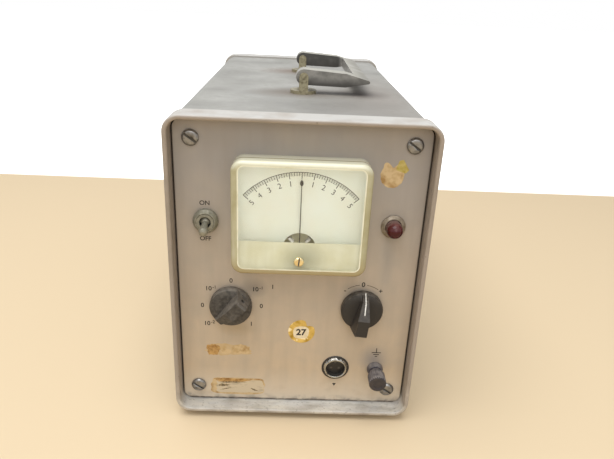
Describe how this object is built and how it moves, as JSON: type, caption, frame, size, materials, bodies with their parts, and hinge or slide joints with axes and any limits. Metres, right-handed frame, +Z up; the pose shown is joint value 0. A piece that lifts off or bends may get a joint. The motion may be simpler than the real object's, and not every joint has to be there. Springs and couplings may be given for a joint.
{
  "type": "null detector",
  "caption": "Bench null detector: centre-zero panel meter, range and zero knobs, toggle, pilot lamp, input socket and binding post in a grey metal case with a folding handle.",
  "frame": {"origin": "on the table, under the middle of the overall box", "axes": "+Z up, -Y out of the front panel, +X to the right as the panel is faced"},
  "size_m": [0.1778, 0.3636, 0.2506],
  "materials": {
    "frame_enamel": "warm grey baked enamel on a die-cast ring, worn on the lips",
    "panel_enamel": "taupe grey semi-matt enamel",
    "cover_enamel": "light grey textured enamel, dusty",
    "plated_steel": "zinc plated",
    "chassis_aluminium": "bare sheet",
    "nickel_screw": "dull nickel plate",
    "black_rubber": "matt",
    "handle_vinyl": "dark grey vinyl with pale dust",
    "post_metal": "dull khaki cadmium plate",
    "black_phenolic": "moulded",
    "clear_acrylic": "yellowed clear moulding",
    "dial_card": "ivory dial enamel",
    "needle_black": "matt black",
    "soft_iron": "dull",
    "bronze": "plain",
    "coil_copper": "enamelled wire",
    "toggle_nickel": "dull nickel",
    "knob_phenolic": "moulded, satin with dust",
    "switch_plate": "cadmium plate",
    "lamp_plate": "dull nickel",
    "wafer_board": "paper phenolic",
    "lens_red": "deep red, dusty",
    "bulb_glass": "clear",
    "input_chrome": "bright plate",
    "post_plastic": "slate grey moulding"
  },
  "bodies": {
    "case": {"front_frame": "frame_enamel", "rear_frame": "frame_enamel", "front_panel": "panel_enamel", "rear_panel": "panel_enamel", "cover": "cover_enamel", "bottom_plate": "cover_enamel", "tie_rods": "plated_steel", "foot_screws": "plated_steel", "handle_pins": "plated_steel", "handle_strap": "plated_steel", "post_stud": "plated_steel", "chassis": "chassis_aluminium", "board_parts": "chassis_aluminium", "panel_screws": "nickel_screw", "hex_nuts": "nickel_screw", "feet": "black_rubber", "line_gland": "black_rubber", "handle_posts": "post_metal", "meter_case": "black_phenolic", "fuse_holder": "black_phenolic", "input_collar": "black_phenolic", "input_insert": "black_phenolic", "toggle_body": "black_phenolic", "meter_cover": "clear_acrylic", "dial_plate": "dial_card", "meter_magnet": "soft_iron", "meter_core": "soft_iron", "transformer_core": "soft_iron", "meter_bridge": "bronze", "hairspring": "bronze", "input_contacts": "bronze", "jewel_bearings": "bronze", "transformer_coil": "coil_copper", "toggle_nut": "toggle_nickel", "range_bushing": "switch_plate", "zero_pot": "switch_plate", "lamp_bezel": "lamp_plate", "range_wafers": "wafer_board", "amplifier_board": "wafer_board", "lamp_lens": "lens_red", "lamp_bulb": "bulb_glass", "input_shell": "input_chrome", "post_base": "post_plastic"},
    "bail": {"handle_bail": "handle_vinyl"},
    "toggle": {"toggle_lever": "toggle_nickel"},
    "range": {"range_knob": "knob_phenolic", "range_shaft": "plated_steel", "range_rotors": "wafer_board", "range_set_screw": "plated_steel"},
    "zero": {"zero_knob": "knob_phenolic", "zero_shaft": "plated_steel", "zero_wiper": "bronze", "zero_set_screw": "plated_steel"},
    "movement": {"needle": "needle_black", "moving_coil": "coil_copper", "coil_staff": "plated_steel"},
    "zero_screw": {"zero_screw": "bronze"},
    "zero_lever": {"zero_lever": "bronze"},
    "post_insert": {"post_insert": "bronze"},
    "post_cap": {"post_cap": "post_plastic"}
  },
  "joints": [
    {"name": "handle_fold", "type": "hinge", "parent": "case", "child": "bail", "pos_m": [0, -0.0014, 0.2446], "axis": [0, -1, 0], "range_deg": [0, 185]},
    {"name": "power_toggle", "type": "hinge", "parent": "case", "child": "toggle", "pos_m": [-0.0643, -0.1628, 0.1595], "axis": [-1, 0, 0], "range_deg": [0, 30]},
    {"name": "range_turn", "type": "hinge", "parent": "case", "child": "range", "pos_m": [-0.0476, -0.1618, 0.094], "axis": [0, 1, 0], "range_deg": [0, 270]},
    {"name": "zero_turn", "type": "hinge", "parent": "case", "child": "zero", "pos_m": [0.0476, -0.1618, 0.094], "axis": [0, 1, 0], "range_deg": [-150, 150]},
    {"name": "needle_swing", "type": "hinge", "parent": "case", "child": "movement", "pos_m": [0, -0.1618, 0.146], "axis": [0, 1, 0], "range_deg": [-50, 50], "stiffness_Nm_per_rad": 0.0002},
    {"name": "meter_zero_turn", "type": "hinge", "parent": "case", "child": "zero_screw", "pos_m": [0, -0.1618, 0.138], "axis": [0, -1, 0], "range_deg": [-45, 45]},
    {"name": "meter_zero_lever", "type": "hinge", "parent": "case", "child": "zero_lever", "pos_m": [0, -0.1618, 0.146], "axis": [0, -1, 0], "range_deg": [-6, 6]},
    {"name": "cap_turn", "type": "hinge", "parent": "case", "child": "post_insert", "pos_m": [0.0622, -0.1618, 0.0408], "axis": [0, -1, 0], "range_deg": [0, 1440.5]},
    {"name": "cap_lift", "type": "slide", "parent": "post_insert", "child": "post_cap", "axis": [0, -1, 0], "range_m": [0, 0.00318]}
  ],
  "couplings": [
    {"joint": "meter_zero_lever", "follows": "meter_zero_turn", "ratio": 0.12172},
    {"joint": "cap_turn", "follows": "cap_lift", "rad_per_m": 7913.3}
  ]
}
